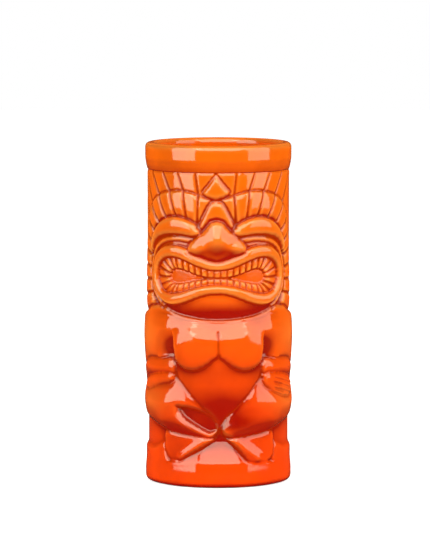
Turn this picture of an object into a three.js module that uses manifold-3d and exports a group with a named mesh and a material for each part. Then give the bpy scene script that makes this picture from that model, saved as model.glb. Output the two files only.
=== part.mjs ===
// A glazed tiki mug: a plain cup with a carved figure around it, from a toothed face down to squatting legs.
// Millimetres, +Z up. The origin is the middle of the mug's footprint on its resting face, and the figure's
// face looks along -Y.
//
// The carving is laid out flat, as if the cup's wall were unrolled: s runs round the wall from the middle of
// the face, z runs up, and h is the height of the carving above CARVING_RADIUS. Each carved form is a closed
// outline in (s, z) with a height over it. It is cut by the forms that lie over it, and then wrapped.
import * as THREE from "three";
import { mergeVertices } from "three/addons/utils/BufferGeometryUtils.js";
import Module from "manifold-3d";

// Driving dimensions.
const HEIGHT = 165;
const RIM_RADIUS = 35.5;
const CARVING_RADIUS = 34;
const CAVITY_RADIUS = 28.3;
const CUP_RADIUS = 31.6;
const PLINTH_RADIUS = 35.3; // where it is widest
const PLINTH_TOP_RADIUS = 34.9;
const GAP = 0.3; // between neighbouring forms, where the glaze pools in a crease
const COLLAR_BOTTOM = 152;
const PLINTH_TOP = 11;
const FLOOR_TOP = 7;
const FOOT_RADIUS = 32;
const FOOT_WIDTH = 4.4;
const FOOT_HEIGHT = 1;
const SKIRT_BOTTOM = 0.4; // the glazed plinth's rounded edge stops just above the surface the mug stands on
const UNDERSIDE_RECESS = 2;
const LEAN = 2 / 130; // the carving's centre line drifts sideways by this much per millimetre of height
const UPRIGHT_Z = 72; // and crosses the middle here

const SKIN_BOTTOM = PLINTH_TOP + GAP;
const SKIN_TOP = COLLAR_BOTTOM - GAP;
const CUP_CLEARANCE = 0.5; // enough for the flat strips of the hidden faces
const SKIN_BACK = CUP_RADIUS + CUP_CLEARANCE - CARVING_RADIUS;
const CUTTER_LOW = SKIN_BACK - 4;
const CUTTER_HIGH = 14;
const BACK_SEAM = Math.PI * CARVING_RADIUS; // s of the middle of the back
const ROUND_SEGMENTS = 48;
const BEND = 6; // widest flat strip left in the carving's faces when it is wrapped
const CUTTER_BEND = 20;
const FLATNESS = 0.16; // facets that lie flatter than this to each other become one
const FINE = 3;
const MEDIUM = 2;
const COARSE = 1;

const wasm = await Module();
wasm.setup();

// ---------------------------------------------------------------- solids

function solidOf(geometry) {
  const bare = new THREE.BufferGeometry().setAttribute("position", geometry.getAttribute("position"));
  bare.setIndex(geometry.getIndex());
  const merged = mergeVertices(bare, 1e-4);
  return new wasm.Manifold(
    new wasm.Mesh({
      numProp: 3,
      vertProperties: merged.getAttribute("position").array,
      triVerts: new Uint32Array(merged.getIndex().array),
    }),
  );
}

function geometryOf(solid) {
  const mesh = solid.getMesh();
  return new THREE.BufferGeometry()
    .setAttribute("position", new THREE.BufferAttribute(new Float32Array(mesh.vertProperties), 3))
    .setIndex(new THREE.BufferAttribute(new Uint32Array(mesh.triVerts), 1));
}

// ---------------------------------------------------------------- outlines in (s, z)

const vector2 = ([s, z]) => new THREE.Vector2(s, z);

// Points at an even spacing along a smooth curve through the given ones.
function smooth(points, closed, spacing) {
  const knots = points.map(([s, z]) => new THREE.Vector3(s, z, 0));
  const curve = new THREE.CatmullRomCurve3(knots, closed, "centripetal");
  const count = Math.max(6, Math.round(curve.getLength() / spacing));
  const spaced = curve.getSpacedPoints(count).map((p) => new THREE.Vector2(p.x, p.y));
  if (closed) spaced.pop();
  return spaced;
}

function anticlockwise(loop) {
  return THREE.ShapeUtils.area(loop) < 0 ? [...loop].reverse() : loop;
}

const blob = (points, spacing = 2.8) => anticlockwise(smooth(points, true, spacing));

const flip = (points) => points.map(([s, z]) => [-s, z]);

// A loop from its right half, whose first and last points lie on the centre line.
const symmetric = (half) => [...half, ...flip(half.slice(1, -1)).reverse()];

// A band between two curves that run the same way.
function band(outer, inner, spacing = 3) {
  return anticlockwise([...smooth(outer, false, spacing), ...smooth(inner, false, spacing).reverse()]);
}

// The loop moved outward by a distance, or inward if it is negative.
function grown(loop, distance) {
  const count = loop.length;
  return loop.map((point, i) => {
    const before = loop[(i + count - 1) % count];
    const after = loop[(i + 1) % count];
    const along = after.clone().sub(before).normalize();
    return new THREE.Vector2(point.x + along.y * distance, point.y - along.x * distance);
  });
}

// ---------------------------------------------------------------- wrapping

const lean = (z) => LEAN * (UPRIGHT_Z - z);

function wrap(geometry) {
  const position = geometry.getAttribute("position");
  for (let i = 0; i < position.count; i++) {
    const z = position.getY(i);
    const angle = (position.getX(i) + lean(z)) / CARVING_RADIUS;
    const radius = CARVING_RADIUS + position.getZ(i);
    position.setXYZ(i, radius * Math.sin(angle), -radius * Math.cos(angle), z);
  }
  return geometry;
}

// The parts of a triangle on the two sides of the upright line at s.
function splitAt(triangle, s) {
  const side = triangle.map((p) => (Math.abs(p.x - s) < 1e-3 ? 0 : Math.sign(p.x - s)));
  if (!side.includes(1) || !side.includes(-1)) return [triangle];
  const before = [];
  const after = [];
  triangle.forEach((p, i) => {
    const next = triangle[(i + 1) % 3];
    if (side[i] <= 0) before.push(p);
    if (side[i] >= 0) after.push(p);
    if (side[i] * side[(i + 1) % 3] < 0) {
      const [low, high] = p.x < next.x ? [p, next] : [next, p];
      const crossing = low.clone().lerp(high, (s - low.x) / (high.x - low.x));
      crossing.x = s;
      before.push(crossing);
      after.push(crossing);
    }
  });
  const fan = (polygon) => polygon.slice(2).map((p, i) => [polygon[0], polygon[i + 1], p]);
  return [...fan(before), ...fan(after)];
}

// Cuts triangles along upright lines, so that a wide flat face bends round the cup.
function bendable(geometry) {
  const flat = (geometry.getIndex() ? geometry.toNonIndexed() : geometry).getAttribute("position");
  let triangles = [];
  for (let i = 0; i < flat.count; i += 3) {
    triangles.push([0, 1, 2].map((k) => new THREE.Vector3().fromBufferAttribute(flat, i + k)));
  }
  const span = new THREE.Box3().setFromBufferAttribute(flat);
  for (let s = Math.ceil(span.min.x / CUTTER_BEND) * CUTTER_BEND; s < span.max.x; s += CUTTER_BEND) {
    triangles = triangles.flatMap((triangle) => splitAt(triangle, s));
  }
  return new THREE.BufferGeometry().setFromPoints(triangles.flat());
}

// ---------------------------------------------------------------- wrapped solids

// Everything in front of height low that an outline encloses.
function prism(loop, low = CUTTER_LOW) {
  const depth = CUTTER_HIGH - low;
  const geometry = new THREE.ExtrudeGeometry(new THREE.Shape(loop), { depth, bevelEnabled: false });
  return solidOf(wrap(bendable(geometry.translate(0, 0, low))));
}

// A closed slab over the loop's box. Its front follows heightAt on a grid, and its back is flat. The grid's
// columns fall on the upright lines along which the slab later bends, or divide the strips between them.
function slab(loop, heightAt, divisions) {
  const box = new THREE.Box2().setFromPoints(loop).expandByScalar(1);
  const bottom = Math.max(box.min.y, SKIN_BOTTOM);
  const top = Math.min(box.max.y, SKIN_TOP);
  const step = BEND / divisions;
  const first = Math.floor(box.min.x / step);
  const columns = Math.ceil(box.max.x / step) - first;
  const rows = heightAt.isLevel ? 1 : Math.ceil((top - bottom) / step);
  const positions = [];
  const index = [];
  for (let i = 0; i <= columns; i++) {
    const s = (first + i) * step;
    for (let j = 0; j <= rows; j++) {
      const z = bottom + ((top - bottom) * j) / rows;
      positions.push(s, z, heightAt(s, z));
    }
    positions.push(s, bottom, SKIN_BACK, s, top, SKIN_BACK);
  }
  const stride = rows + 3;
  const front = (i, j) => i * stride + j;
  const backBottom = (i) => i * stride + rows + 1;
  const backTop = (i) => i * stride + rows + 2;
  const quad = (a, b, c, d) => index.push(a, b, c, a, c, d);
  for (let i = 0; i < columns; i++) {
    for (let j = 0; j < rows; j++) quad(front(i, j), front(i + 1, j), front(i + 1, j + 1), front(i, j + 1));
    quad(backBottom(i), backTop(i), backTop(i + 1), backBottom(i + 1));
    quad(backBottom(i), backBottom(i + 1), front(i + 1, 0), front(i, 0));
    quad(front(i, rows), front(i + 1, rows), backTop(i + 1), backTop(i));
  }
  for (let j = 0; j < rows; j++) {
    index.push(backBottom(0), front(0, j), front(0, j + 1));
    index.push(backBottom(columns), front(columns, j + 1), front(columns, j));
  }
  index.push(backBottom(0), front(0, rows), backTop(0));
  index.push(backBottom(columns), backTop(columns), front(columns, rows));
  const geometry = new THREE.BufferGeometry();
  geometry.setAttribute("position", new THREE.Float32BufferAttribute(positions, 3));
  return solidOf(wrap(geometry.setIndex(index)));
}

// A narrow cutter along the line from a to b, for a carved groove whose floor is at height low.
const GROOVE_WIDTH = 0.7;
const GROOVE_FLOOR = -0.9;
const GROOVE_OVERRUN = 1;
function groove(a, b, width = GROOVE_WIDTH, low = GROOVE_FLOOR) {
  const along = b.clone().sub(a).normalize();
  const side = new THREE.Vector2(-along.y, along.x).multiplyScalar(width / 2);
  const start = a.clone().addScaledVector(along, -GROOVE_OVERRUN);
  const end = b.clone().addScaledVector(along, GROOVE_OVERRUN);
  const nearSide = [start.clone().add(side), start.clone().sub(side)];
  const farSide = [end.clone().sub(side), end.clone().add(side)];
  return prism(anticlockwise([...nearSide, ...farSide]), low);
}

// Grooves that divide a band between two curves into tiles.
function tileGrooves(outer, inner, tiles) {
  const ends = smooth(outer, false, 1);
  const starts = smooth(inner, false, 1);
  return Array.from({ length: tiles - 1 }, (_, k) => {
    const share = (k + 1) / tiles;
    const pick = (line) => line[Math.round(share * (line.length - 1))];
    return groove(pick(starts), pick(ends));
  });
}

// ---------------------------------------------------------------- height shapes

// A hill of height 1 at (s, z) = (s0, z0), with its half widths.
function hill(s, z, s0, z0, halfS, halfZ) {
  return Math.exp(-(((s - s0) / halfS) ** 2) - ((z - z0) / halfZ) ** 2);
}

const step01 = (x, from, to) => THREE.MathUtils.smoothstep(x, from, to);

const level = (h) => Object.assign(() => h, { isLevel: true });

function noseHeight(s, z) {
  const bridge = 2.4 * hill(s, z, 0, 124, 4, 6);
  const tip = 4.0 * hill(s, z, 0, 117.5, 5.5, 5.5);
  const wings = 1.7 * (hill(s, z, 9.5, 115.5, 4, 3.5) + hill(s, z, -9.5, 115.5, 4, 3.5));
  return 1.6 + bridge + tip + wings;
}

// The chin rounds back into the neck.
const chinHeight = (s, z) => -0.4 + 1.7 * hill(s, z, 0, 88.5, 30, 5);

// Distance from a point to the nearest side of a loop.
function toEdge(loop, s, z) {
  let nearest = Infinity;
  const point = new THREE.Vector3(s, z, 0);
  const line = new THREE.Line3();
  const foot = new THREE.Vector3();
  loop.forEach((a, i) => {
    const b = loop[(i + 1) % loop.length];
    line.set(new THREE.Vector3(a.x, a.y, 0), new THREE.Vector3(b.x, b.y, 0));
    nearest = Math.min(nearest, line.closestPointToPoint(point, true, foot).distanceTo(point));
  });
  return nearest;
}

// A height that rises from an outline's edge to a rounded crown.
function crowned(loop, edge, crown, width) {
  return (s, z) => {
    const inward = Math.min(1, toEdge(loop, s, z) / width);
    return edge + (crown - edge) * Math.sqrt(1 - (1 - inward) ** 2);
  };
}

const ridgeHeight = (points, side) => crowned(blob(side < 0 ? flip(points) : points), 0, 2.4, 3.5);
const lipHeight = (s, z) => {
  const outer = toEdge(LIP_OUTER_LOOP, s, z);
  const inner = toEdge(LIP_INNER_LOOP, s, z);
  return 0.2 + 2.4 * Math.sin((Math.PI * outer) / (outer + inner + 0.01));
};
const gemHeight = (points) => (s, z) => 0.2 + 1.3 * step01(toEdge(blob(points), s, z), 0, 2.4);

// The chest slopes outward from the neckline to the two domes of its muscles.
function chestHeight(s, z) {
  const below = 81.2 + 3.6 * (s / 25.6) ** 2 - z;
  const muscle = 2.2 * hill(Math.abs(s), z, 11.5, 65.5, 10, 9);
  return 0.4 + 1.6 * step01(below, 0, 10) + muscle;
}

// The belly tapers back between the thighs.
const bellyHeight = (s, z) => 0.3 + 2 * hill(s, 0, 0, 0, 17, 1) * step01(z, 27, 46);

const shoulderHeight = (s, z) => 1.2 + 0.7 * hill(Math.abs(s), z, 46, 74, 14, 10);

const forearmHeight = (s, z) => 1.4 + 0.8 * hill(Math.abs(s), z, 38, 57, 16, 5);

function legHeight(s, z) {
  const knee = 3 * hill(Math.abs(s), z, 36, 43, 17, 8);
  const shin = 1.2 * hill(Math.abs(s), z, 14, 30.5, 14, 5);
  return 1 + knee + shin;
}

// The ground in front of the feet leans back into the wall as it rises.
const groundHeight = (s, z) => PLINTH_TOP_RADIUS - CARVING_RADIUS - 1.3 * step01(z, 12, 24);

const WALL_HEIGHT = -0.2;

// The plinth's edge, which rises a little beside the feet, and the plain wall above it.
function wallHeight(s, z) {
  const edge = 18.5 + 3.2 * (1 - step01(Math.abs(s), 27, 40));
  const ledge = PLINTH_TOP_RADIUS - CARVING_RADIUS - WALL_HEIGHT;
  return WALL_HEIGHT + ledge * (1 - step01(z, edge - 1.2, edge + 1.2));
}

function torsoBackHeight(s, z) {
  const off = Math.abs(BACK_SEAM - Math.abs(s));
  return 0.1 + 1.1 * hill(off, z, 18, 68, 12, 11) + 1.0 * hill(off, z, 15, 40, 13, 6);
}

// ---------------------------------------------------------------- the carving's outlines, right-hand side

const BROW_BAND_OUTER = [
  [1, 139], [6, 140.2], [12, 142.4], [19, 143.3], [27, 142.4], [34, 140],
  [39.5, 136], [43.5, 129], [46, 118], [47.5, 104], [48, 92], [47, 83.5],
];
const BROW_BAND_INNER = [
  [4, 124], [9, 126.8], [13.5, 129.4], [20, 131], [27, 129.8], [33, 126],
  [37, 120], [39, 112], [39.6, 103], [38.8, 95], [36.5, 88],
];
const CREST_OUTER = [
  [0.6, 156], [13, 154.5], [22.5, 154.2], [32, 154], [44, 153.5], [54, 150],
  [60, 140], [62, 128], [62.6, 114], [62.4, 100], [60.5, 86.5],
];
const UPPER_GEM = symmetric([
  [0, 151.5], [0.7, 151.2], [1.7, 149.6], [3.9, 146.6], [6.3, 143.9], [7.3, 142.7], [7.1, 141.9],
  [5.4, 140.7], [3, 139.3], [1.4, 138.9], [0, 138.8],
]);
const LOWER_GEM = symmetric([
  [0, 138.7], [2.3, 138.6], [3.4, 137.8], [6.2, 132.4], [8.9, 127], [8.9, 125.6], [7.4, 124.6], [4, 124.3],
  [0, 124.3],
]);
const BROW_RIDGE = [
  [7.6, 122.4], [9, 126.6], [13, 129.2], [20, 130.8], [27, 129.6], [33, 125.8], [37, 119.8],
  [38.4, 113.5], [36.9, 112.8], [35, 116.6], [31, 120.4], [25, 122.3], [18, 122.8], [12, 121.9],
];
const CHEEK_FOLD_OUTER = [
  [8, 119.6], [13, 121], [18, 121.5], [23.5, 121.2], [29, 119.6], [34, 115.9], [37.3, 110.4],
  [38.5, 104], [38.1, 98], [36.1, 92.3], [33, 88.4], [29, 86.2],
];
const CHEEK_FOLD_INNER = [
  [9, 117.4], [13, 118.6], [18, 119.3], [23, 119], [28, 117.6], [32.3, 114.5], [35.2, 109.8],
  [36.3, 104], [35.9, 98], [34.2, 93], [31.4, 89.8], [28, 88.2],
];
const CHEEK = [
  [9, 117], [18, 118.8], [23, 118.6], [27.8, 117.2], [31.9, 114.2], [34.8, 109.6], [35.9, 103.8],
  [33, 104], [28, 110], [20, 113.5], [9, 112],
];
const LIP_OUTER = symmetric([
  [0, 110.4], [5, 111.2], [9, 112.8], [13, 114.9], [17, 116.4], [22, 117], [27, 116.4], [31.5, 113.9],
  [34.6, 109.5], [35.7, 104], [35.2, 98], [33, 93], [29.3, 89.8], [25, 88.4], [20, 88.6], [15, 90],
  [10, 92], [5, 93.7], [0, 94.3],
]);
const LIP_INNER = symmetric([
  [0, 105.4], [5, 106], [10, 107.6], [15, 109.7], [20, 111.3], [24.5, 111.4], [28.5, 109.8], [31.3, 106.5],
  [32.2, 102.5], [31.3, 98.3], [28.6, 95], [24.5, 93.6], [20, 93.9], [15, 95.4], [10, 97], [5, 98], [0, 98.4],
]);
const MOUTH = symmetric([
  [0, 101.9], [5, 102.2], [10, 103.2], [15, 104.9], [19, 106], [22.5, 105.7], [24.8, 103.6], [25.2, 101.2],
  [23.5, 99], [20, 98.4], [15, 99.2], [10, 100.4], [5, 101], [0, 101.1],
]);
const NOSE = symmetric([
  [0, 129], [3, 128.2], [4.3, 126.4], [6.6, 123.8], [9.9, 121], [12.9, 118.3], [14, 116], [13.2, 113.8],
  [10.5, 112.6], [7, 111.4], [3.5, 110], [0, 109.3],
]);
const CHIN = symmetric([
  [0, 98], [16, 94], [26, 92], [32, 90.6], [30, 87.8], [26, 85.4], [20, 83.8], [10, 82.2], [0, 81.5],
]);
const CHEST = symmetric([
  [0, 81.2], [10, 81.9], [20, 83.5], [25.6, 84.8], [24.6, 80], [23.6, 75], [23.5, 69], [22.7, 64],
  [20, 60.1], [16.5, 57.6], [12, 56.8], [7.5, 57.9], [3.5, 60.8], [0, 63.8],
]);
const SHOULDER = [
  [25.6, 85.2], [33, 87.6], [40, 86.6], [50, 83], [60, 81], [64, 72], [63, 61], [58, 56.2],
  [50, 57.6], [42, 61], [34, 61.2], [32, 66], [29, 71.4], [26, 74.8], [23.4, 76.6],
];
const ARMPIT = [
  [22.8, 75.6], [26, 74.4], [29.4, 71], [32, 66.6], [32.6, 62], [27, 61], [22, 61.5], [22.6, 68],
];
const FOREARM = [
  [23.6, 62.4], [31, 62], [40, 61.6], [50, 57.6], [58, 55.8], [61, 52], [57, 48], [48, 49.6],
  [38, 52.6], [30, 54], [22.6, 54.4], [21.6, 57.5],
];
const HAND = {
  left: [
    [23, 54.6], [30, 54.8], [38, 53.4], [46, 50.6], [46.5, 47],
    [42, 46], [35, 47.8], [28, 49.8], [23.4, 51],
  ],
  right: [
    [22.6, 54.6], [30, 54.8], [38, 53.4], [46, 50.6], [47.4, 45.2],
    [42, 42.4], [35, 43], [28, 46], [22.8, 49.8],
  ],
};
const BELLY = symmetric([
  [0, 66], [12, 62], [24, 62.5], [22, 57], [19.2, 51.5], [15.2, 46.6], [11.6, 42.5], [8, 38.6],
  [4.5, 35], [0, 31],
]);
const LEG = [
  [2.8, 34.4], [8, 38.8], [11.6, 42.8], [15.2, 46.8], [19.2, 51.4], [24, 54], [34, 52.4], [46, 49.6],
  [56, 47.6], [61, 43], [60.4, 37], [54, 33.2], [46, 31.8], [38, 30.2], [30, 28.2], [20, 26.4],
  [10, 25.2], [4, 24.5], [1.2, 25.6], [0.6, 28.4], [1.2, 31.6],
];
const BEND_OF_KNEE = [
  [1.8, 28.8], [4, 27.7], [8, 29.6], [13, 32.4], [17.5, 35.2], [20.4, 38.8], [17, 38.4], [12, 37.6],
  [7.5, 36], [3.8, 33.6], [1.9, 31.2],
];
const FOOT = {
  left: [
    [1.5, 25], [10, 25.6], [20, 26.8], [28.4, 27.8], [29.4, 22], [28, 15], [25.6, 12.4], [21, 12],
    [18.4, 13.8], [12.8, 17], [6.4, 20.8],
  ],
  right: [
    [2, 25.6], [10, 25.6], [20, 26.8], [28.4, 27.8], [29.4, 22], [28, 14.6], [25, 11.6], [18, 11.3],
    [14, 12.4], [9.8, 17.2], [5.4, 22],
  ],
};
const GROUND = symmetric([[0, 26.4], [7, 21.6], [14, 17], [19, 14.2], [26, 13], [30, 9.6], [0, 8.8]]);
const LOWER_WALL = [[18, 8], [16, 24], [24, 31], [40, 36], [62, 38], [63.5, 22], [63, 8]];
const BACK_HALF_WIDTH = BACK_SEAM - 62;
const BACK_TOP = 86;
const BACK_MIDDLE = 35;

// An outline centred on the back, from its right half measured from the back's centre line.
const onBack = (half) => symmetric(half).map(([s, z]) => [s + BACK_SEAM, z]);
const BACK_HAIR = onBack([
  [0, 157], [30, 156], [BACK_HALF_WIDTH + 6, 154], [BACK_HALF_WIDTH - 1, 124], [BACK_HALF_WIDTH - 1, 100],
  [BACK_HALF_WIDTH, BACK_TOP + 1], [20, BACK_TOP], [0, BACK_TOP - 2],
]);
const TORSO_BACK = onBack([
  [0, BACK_TOP - 1], [22, BACK_TOP], [BACK_HALF_WIDTH + 3, BACK_TOP - 3], [BACK_HALF_WIDTH + 6, 60],
  [BACK_HALF_WIDTH + 3, BACK_MIDDLE + 2], [20, BACK_MIDDLE], [0, BACK_MIDDLE + 1],
]);
const BACK_LOWER_WALL = onBack([
  [0, BACK_MIDDLE + 4], [BACK_HALF_WIDTH, BACK_MIDDLE + 4], [BACK_HALF_WIDTH - 1, 22],
  [BACK_HALF_WIDTH - 1, 8], [0, 7],
]);

// ---------------------------------------------------------------- carved details cut into the forms

const TILES_IN_BROW = 12;
const TILES_IN_CREST = 12;
const MIDDLE_TEETH = 11;
const TOOTH_WIDTH = 3.1;
const TOOTH_REACH = 13;
const CORNER_TEETH = 4; // above and below the middle of each corner of the mouth
const CORNER_FAN = 21; // degrees between them
const CORNER_S = 19.8;
const MOUTH_LINE = 101.5; // the height at which the jaws meet
const HAIR_STRANDS = 9;

const TOOTH_GROOVE_WIDTH = 0.5;
const TOOTH_GROOVE_FLOOR = -0.4;
const FINGERS = 4;
const FINGER_WIDTH = 2.4;
const FINGER_GROOVE_WIDTH = 0.5;
const FINGER_GROOVE_FLOOR = 0.6;
const BREAST_GROOVE_WIDTH = 0.6;
const BREAST_GROOVE_FLOOR = 0.4;

// Upright grooves between the middle teeth, and a fan of them round each corner of the mouth.
const toothGroove = (a, b) => groove(vector2(a), vector2(b), TOOTH_GROOVE_WIDTH, TOOTH_GROOVE_FLOOR);
function toothGrooves() {
  const upright = Array.from({ length: MIDDLE_TEETH + 1 }, (_, k) => {
    const s = TOOTH_WIDTH * (k - MIDDLE_TEETH / 2);
    return toothGroove([s, MOUTH_LINE - TOOTH_REACH], [s, MOUTH_LINE + TOOTH_REACH]);
  });
  const fanned = [-1, 1].flatMap((side) =>
    Array.from({ length: 2 * CORNER_TEETH + 1 }, (_, k) => {
      const angle = THREE.MathUtils.degToRad(CORNER_FAN * (k - CORNER_TEETH));
      const out = [TOOTH_REACH * Math.cos(angle), TOOTH_REACH * Math.sin(angle)];
      return toothGroove([side * CORNER_S, MOUTH_LINE], [side * (CORNER_S + out[0]), MOUTH_LINE + out[1]]);
    }),
  );
  return [...upright, ...fanned];
}

function hairGrooves() {
  const width = 2 * (BACK_HALF_WIDTH - 2);
  return Array.from({ length: HAIR_STRANDS - 1 }, (_, k) => {
    const s = BACK_SEAM - width / 2 + (width * (k + 1)) / HAIR_STRANDS;
    return groove(vector2([s, BACK_TOP - 6]), vector2([s, SKIN_TOP + 3]));
  });
}

// The grooves between the fingers of the right hand, which lies over the knee. The left is a plain mitten.
function fingerGrooves() {
  return Array.from({ length: FINGERS - 1 }, (_, k) => {
    const start = vector2([29, 52.4 - FINGER_WIDTH * k]);
    const end = vector2([43 - k, 48.6 - FINGER_WIDTH * k]);
    return groove(start, end, FINGER_GROOVE_WIDTH, FINGER_GROOVE_FLOOR);
  });
}

// ---------------------------------------------------------------- the forms, front-most first

function form(name, points, side, heightAt, divisions, extra = {}) {
  return { name, loop: blob(side < 0 ? flip(points) : points), heightAt, divisions, ...extra };
}

function tiledBand(name, outer, inner, side, tiles) {
  const [a, b] = side < 0 ? [flip(outer), flip(inner)] : [outer, inner];
  const grooves = tileGrooves(a, b, tiles);
  return { name, loop: band(a, b), heightAt: level(0.7), divisions: COARSE, grooves };
}

// A hollow is no form of its own: it cuts what lies under it, down to the cup.
const hollow = (points, side) => ({ loop: blob(side < 0 ? flip(points) : points) });

const onBothSides = (make) => [...make("left", -1), ...make("right", 1)];

const LIP_OUTER_LOOP = blob(LIP_OUTER);
const LIP_INNER_LOOP = blob(LIP_INNER, 1.8);
const teethRing = grown(LIP_INNER_LOOP, -GAP);
const halfPlane = (z, far) => [[-40, z], [40, z], [40, far], [-40, far]].map(vector2);
const belowMouth = anticlockwise(halfPlane(MOUTH_LINE + GAP / 2, 60));
const aboveMouth = anticlockwise(halfPlane(MOUTH_LINE - GAP / 2, 140));

function toothRow(name, otherHalf) {
  const row = { name, loop: teethRing, heightAt: level(0.9), divisions: COARSE };
  return { ...row, holes: [blob(MOUTH, 1.8), otherHalf], grooves: toothGrooves() };
}

function cheekFold(word, side) {
  const mirrored = (points) => (side < 0 ? flip(points) : points);
  const loop = band(mirrored(CHEEK_FOLD_OUTER), mirrored(CHEEK_FOLD_INNER));
  return { name: `cheek_fold_${word}`, loop, heightAt: level(1.3), divisions: COARSE };
}

function hand(word, side) {
  const grooves = side < 0 ? [] : fingerGrooves();
  return form(`hand_${word}`, HAND[word], side, ridgeHeight(HAND[word], side), MEDIUM, { grooves });
}

const breastGroove = () =>
  groove(vector2([0, 62]), vector2([0, 75]), BREAST_GROOVE_WIDTH, BREAST_GROOVE_FLOOR);

const FORMS = [
  form("nose", NOSE, 1, noseHeight, FINE),
  { name: "lips", loop: LIP_OUTER_LOOP, holes: [LIP_INNER_LOOP], heightAt: lipHeight, divisions: MEDIUM },
  form("forehead_gem_upper", UPPER_GEM, 1, gemHeight(UPPER_GEM), MEDIUM),
  form("forehead_gem_lower", LOWER_GEM, 1, gemHeight(LOWER_GEM), MEDIUM),
  ...onBothSides((word, side) => [
    form(`brow_ridge_${word}`, BROW_RIDGE, side, ridgeHeight(BROW_RIDGE, side), MEDIUM),
    tiledBand(`brow_tiles_${word}`, BROW_BAND_OUTER, BROW_BAND_INNER, side, TILES_IN_BROW),
    tiledBand(`crest_tiles_${word}`, CREST_OUTER, BROW_BAND_OUTER, side, TILES_IN_CREST),
    cheekFold(word, side),
    form(`cheek_${word}`, CHEEK, side, ridgeHeight(CHEEK, side), MEDIUM),
    hand(word, side),
    form(`forearm_${word}`, FOREARM, side, forearmHeight, MEDIUM),
    ...(side < 0 ? [hollow(BEND_OF_KNEE, side)] : []),
    form(`leg_${word}`, LEG, side, legHeight, MEDIUM),
    form(`foot_${word}`, FOOT[word], side, ridgeHeight(FOOT[word], side), MEDIUM),
    hollow(ARMPIT, side),
  ]),
  form("chest", CHEST, 1, chestHeight, MEDIUM, { grooves: [breastGroove()] }),
  ...onBothSides((word, side) => [form(`shoulder_${word}`, SHOULDER, side, shoulderHeight, COARSE)]),
  form("belly", BELLY, 1, bellyHeight, MEDIUM),
  form("chin", CHIN, 1, chinHeight, MEDIUM),
  form("ground_wedge", GROUND, 1, groundHeight, MEDIUM),
  form("back_hair", BACK_HAIR, 1, level(0.6), COARSE, { grooves: hairGrooves() }),
  form("back_torso", TORSO_BACK, 1, torsoBackHeight, COARSE),
  ...onBothSides((word, side) => [form(`lower_wall_${word}`, LOWER_WALL, side, wallHeight, COARSE)]),
  form("lower_wall_back", BACK_LOWER_WALL, 1, wallHeight, COARSE),
];
const TEETH_ROWS = [toothRow("teeth_upper", belowMouth), toothRow("teeth_lower", aboveMouth)];

// ---------------------------------------------------------------- cutting the forms to each other

function biggest(solid) {
  return solid.decompose().sort((a, b) => b.volume() - a.volume())[0];
}

function cutForm({ loop, heightAt, divisions, holes = [], grooves = [] }, over) {
  let solid = slab(loop, heightAt, divisions).intersect(prism(loop));
  for (const cutter of [...over, ...holes.map((hole) => prism(hole)), ...grooves]) {
    solid = solid.subtract(cutter);
  }
  return biggest(solid.asOriginal().simplify(FLATNESS));
}

// ---------------------------------------------------------------- the plain turned parts

const profile = (points) => points.map(([radius, z]) => new THREE.Vector2(radius, z));
const arc = (cx, cz, r, from, to, count) =>
  Array.from({ length: count + 1 }, (_, i) => {
    const angle = THREE.MathUtils.degToRad(from + ((to - from) * i) / count);
    return [cx + r * Math.cos(angle), cz + r * Math.sin(angle)];
  });

// A closed ring from its profile of (radius, z).
function turned(points) {
  const lathe = new THREE.LatheGeometry(profile([...points, points[0]]), ROUND_SEGMENTS);
  return lathe.rotateX(Math.PI / 2);
}

const CAVITY_FLARE = 1.2; // the cavity widens by this much towards its mouth
const FLARE_HEIGHT = 16;
function cupWall() {
  return turned([
    [CAVITY_RADIUS, FLOOR_TOP + GAP], [CUP_RADIUS, FLOOR_TOP + GAP],
    [CUP_RADIUS, COLLAR_BOTTOM - GAP], [CAVITY_RADIUS + CAVITY_FLARE, COLLAR_BOTTOM - GAP],
    [CAVITY_RADIUS, COLLAR_BOTTOM - FLARE_HEIGHT],
  ]);
}

const COLLAR_INNER_RADIUS = 30.2;
const COLLAR_BOTTOM_RADIUS = 34.35;
const LIP_ROUND = (RIM_RADIUS - COLLAR_INNER_RADIUS) / 2;
function rimCollar() {
  return turned([
    [CAVITY_RADIUS + CAVITY_FLARE, COLLAR_BOTTOM], [COLLAR_BOTTOM_RADIUS, COLLAR_BOTTOM],
    [COLLAR_BOTTOM_RADIUS + 0.6, COLLAR_BOTTOM + 2.2], [RIM_RADIUS - 0.1, COLLAR_BOTTOM + 5.2],
    ...arc(RIM_RADIUS - LIP_ROUND, HEIGHT - LIP_ROUND, LIP_ROUND, 0, 180, 8),
  ]);
}

const EDGE_ROUND = 2.8;
const BULGE_LOW = 6; // from here up the plinth's side draws in again
const BULGE_HIGH = 9;
function basePlinth() {
  const underside = FOOT_HEIGHT + GAP;
  const recess = FOOT_RADIUS - FOOT_WIDTH - GAP;
  return turned([
    [0, underside + UNDERSIDE_RECESS],
    [recess - UNDERSIDE_RECESS, underside + UNDERSIDE_RECESS],
    [recess, underside], [FOOT_RADIUS + GAP, underside], [FOOT_RADIUS + GAP, SKIRT_BOTTOM],
    ...arc(PLINTH_RADIUS - EDGE_ROUND, SKIRT_BOTTOM + EDGE_ROUND, EDGE_ROUND, -90, 0, 4),
    [PLINTH_RADIUS, BULGE_LOW], [PLINTH_RADIUS - 0.1, BULGE_HIGH], [PLINTH_TOP_RADIUS, PLINTH_TOP],
    [CUP_RADIUS + GAP, PLINTH_TOP], [CUP_RADIUS + GAP, FLOOR_TOP], [0, FLOOR_TOP],
  ]);
}

const FOOT_CHAMFER = 0.5;
function footRing() {
  const inside = FOOT_RADIUS - FOOT_WIDTH;
  return turned([
    [inside, FOOT_HEIGHT], [inside + FOOT_CHAMFER, 0],
    [FOOT_RADIUS - FOOT_CHAMFER, 0], [FOOT_RADIUS, FOOT_HEIGHT],
  ]);
}

// ---------------------------------------------------------------- the mug

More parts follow.
